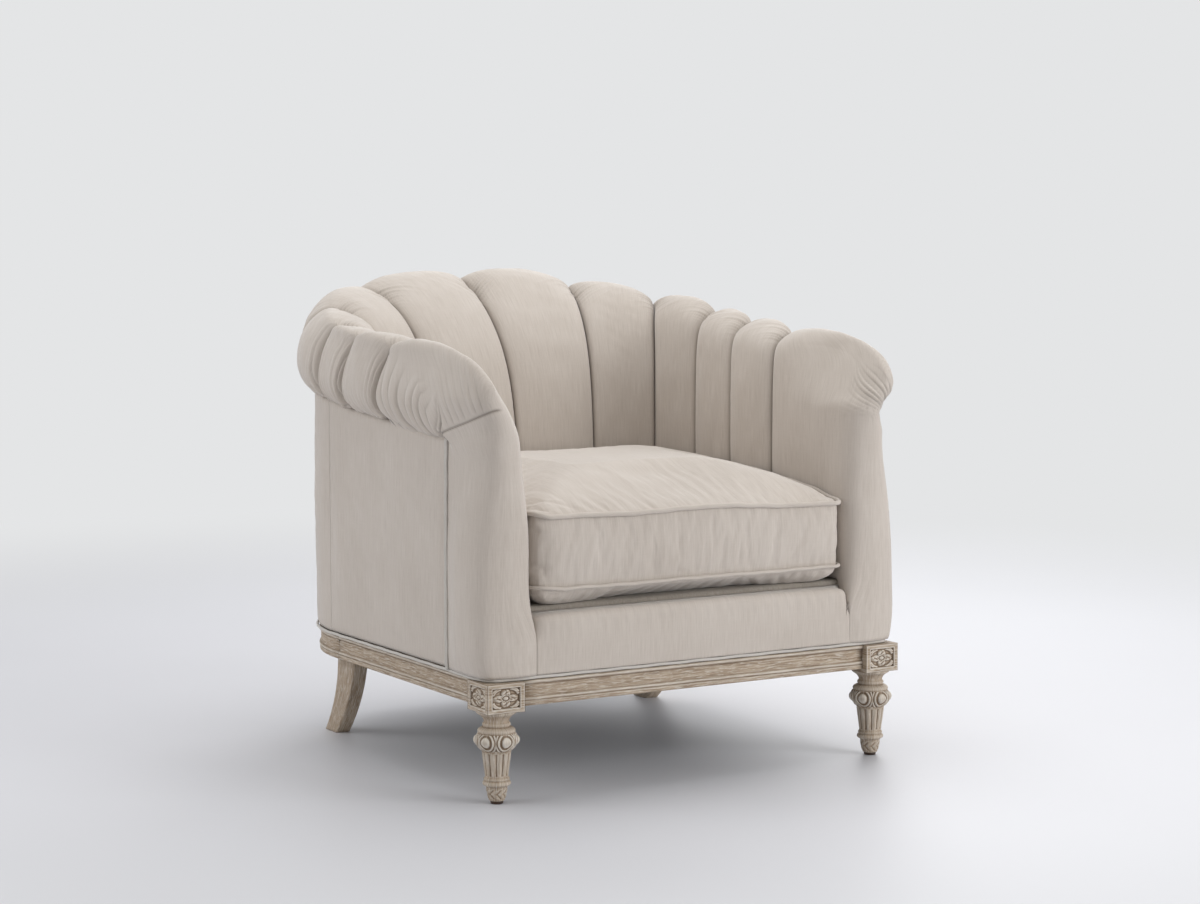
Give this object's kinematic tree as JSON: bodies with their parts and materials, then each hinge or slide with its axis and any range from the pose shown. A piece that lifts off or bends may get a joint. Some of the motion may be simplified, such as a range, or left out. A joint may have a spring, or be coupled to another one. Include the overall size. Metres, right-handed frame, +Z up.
{
  "type": "barrel armchair",
  "caption": "Upholstered barrel armchair with a channelled, scalloped back that rolls over, a loose seat cushion and a carved limed wood base on turned legs.",
  "frame": {"origin": "middle of the bounding box in plan, on the floor under the chair", "axes": "+Z up, the seat's front faces -Y, +X across the chair to the right of someone who stands in front of it"},
  "size_m": [0.9082, 0.9696, 0.8847],
  "materials": {
    "upholstery_fabric": "matt linen weave with slubs, warm greige",
    "welt_fabric": "matt fabric-covered welt cord, grey white",
    "limed_oak": "limed, wire-brushed oak with pale filler in the grain and the carving",
    "frame_wood": "raw sawn hardwood",
    "foam": "polyurethane foam",
    "spring_steel": "drawn steel wire",
    "lining_cloth": "woven hessian lining",
    "deck_cloth": "matt deck cloth over padding",
    "black_cloth": "matt non-woven dust cloth",
    "dark_glide": "matt dark brown glide"
  },
  "bodies": {
    "chair": {"front_rail": "limed_oak", "left_rail": "limed_oak", "right_rail": "limed_oak", "back_rail": "limed_oak", "front_leg_left": "limed_oak", "front_leg_right": "limed_oak", "front_glide_left": "dark_glide", "front_glide_right": "dark_glide", "rear_leg_left": "limed_oak", "rear_leg_right": "limed_oak", "front_brace_left": "frame_wood", "front_brace_right": "frame_wood", "rear_brace_left": "frame_wood", "rear_brace_right": "frame_wood", "dust_cover": "black_cloth", "arm_post_left": "frame_wood", "arm_post_right": "frame_wood", "rear_post_left": "frame_wood", "rear_post_right": "frame_wood", "middle_post": "frame_wood", "seat_rail_front": "frame_wood", "seat_rail_left": "frame_wood", "seat_rail_right": "frame_wood", "seat_rail_back": "frame_wood", "arm_board_left": "frame_wood", "arm_board_right": "frame_wood", "back_board": "frame_wood", "arm_lining_left": "lining_cloth", "arm_lining_right": "lining_cloth", "back_lining": "lining_cloth", "seat_springs": "spring_steel", "seat_deck": "deck_cloth", "front_bolster_left": "upholstery_fabric", "front_bolster_right": "upholstery_fabric", "arm_channel_1_left": "upholstery_fabric", "arm_channel_1_right": "upholstery_fabric", "arm_channel_2_left": "upholstery_fabric", "arm_channel_2_right": "upholstery_fabric", "corner_channel_left": "upholstery_fabric", "corner_channel_right": "upholstery_fabric", "back_channel_1_left": "upholstery_fabric", "back_channel_1_right": "upholstery_fabric", "back_channel_2_left": "upholstery_fabric", "back_channel_2_right": "upholstery_fabric", "roll_foam_left": "foam", "roll_foam_right": "foam", "outside_arm_panel_left": "upholstery_fabric", "outside_arm_panel_right": "upholstery_fabric", "outside_back_panel": "upholstery_fabric", "arm_front_left": "upholstery_fabric", "arm_front_right": "upholstery_fabric", "front_apron": "upholstery_fabric", "base_welt": "welt_fabric", "arm_welt_left": "welt_fabric", "arm_welt_right": "welt_fabric"},
    "cushion": {"seat_cushion": "upholstery_fabric", "cushion_piping_upper": "upholstery_fabric", "cushion_piping_lower": "upholstery_fabric"}
  },
  "joints": [
    {"name": "cushion_lift", "type": "slide", "parent": "chair", "child": "cushion", "axis": [0, 0, 1], "range_m": [0, 0.6]}
  ]
}
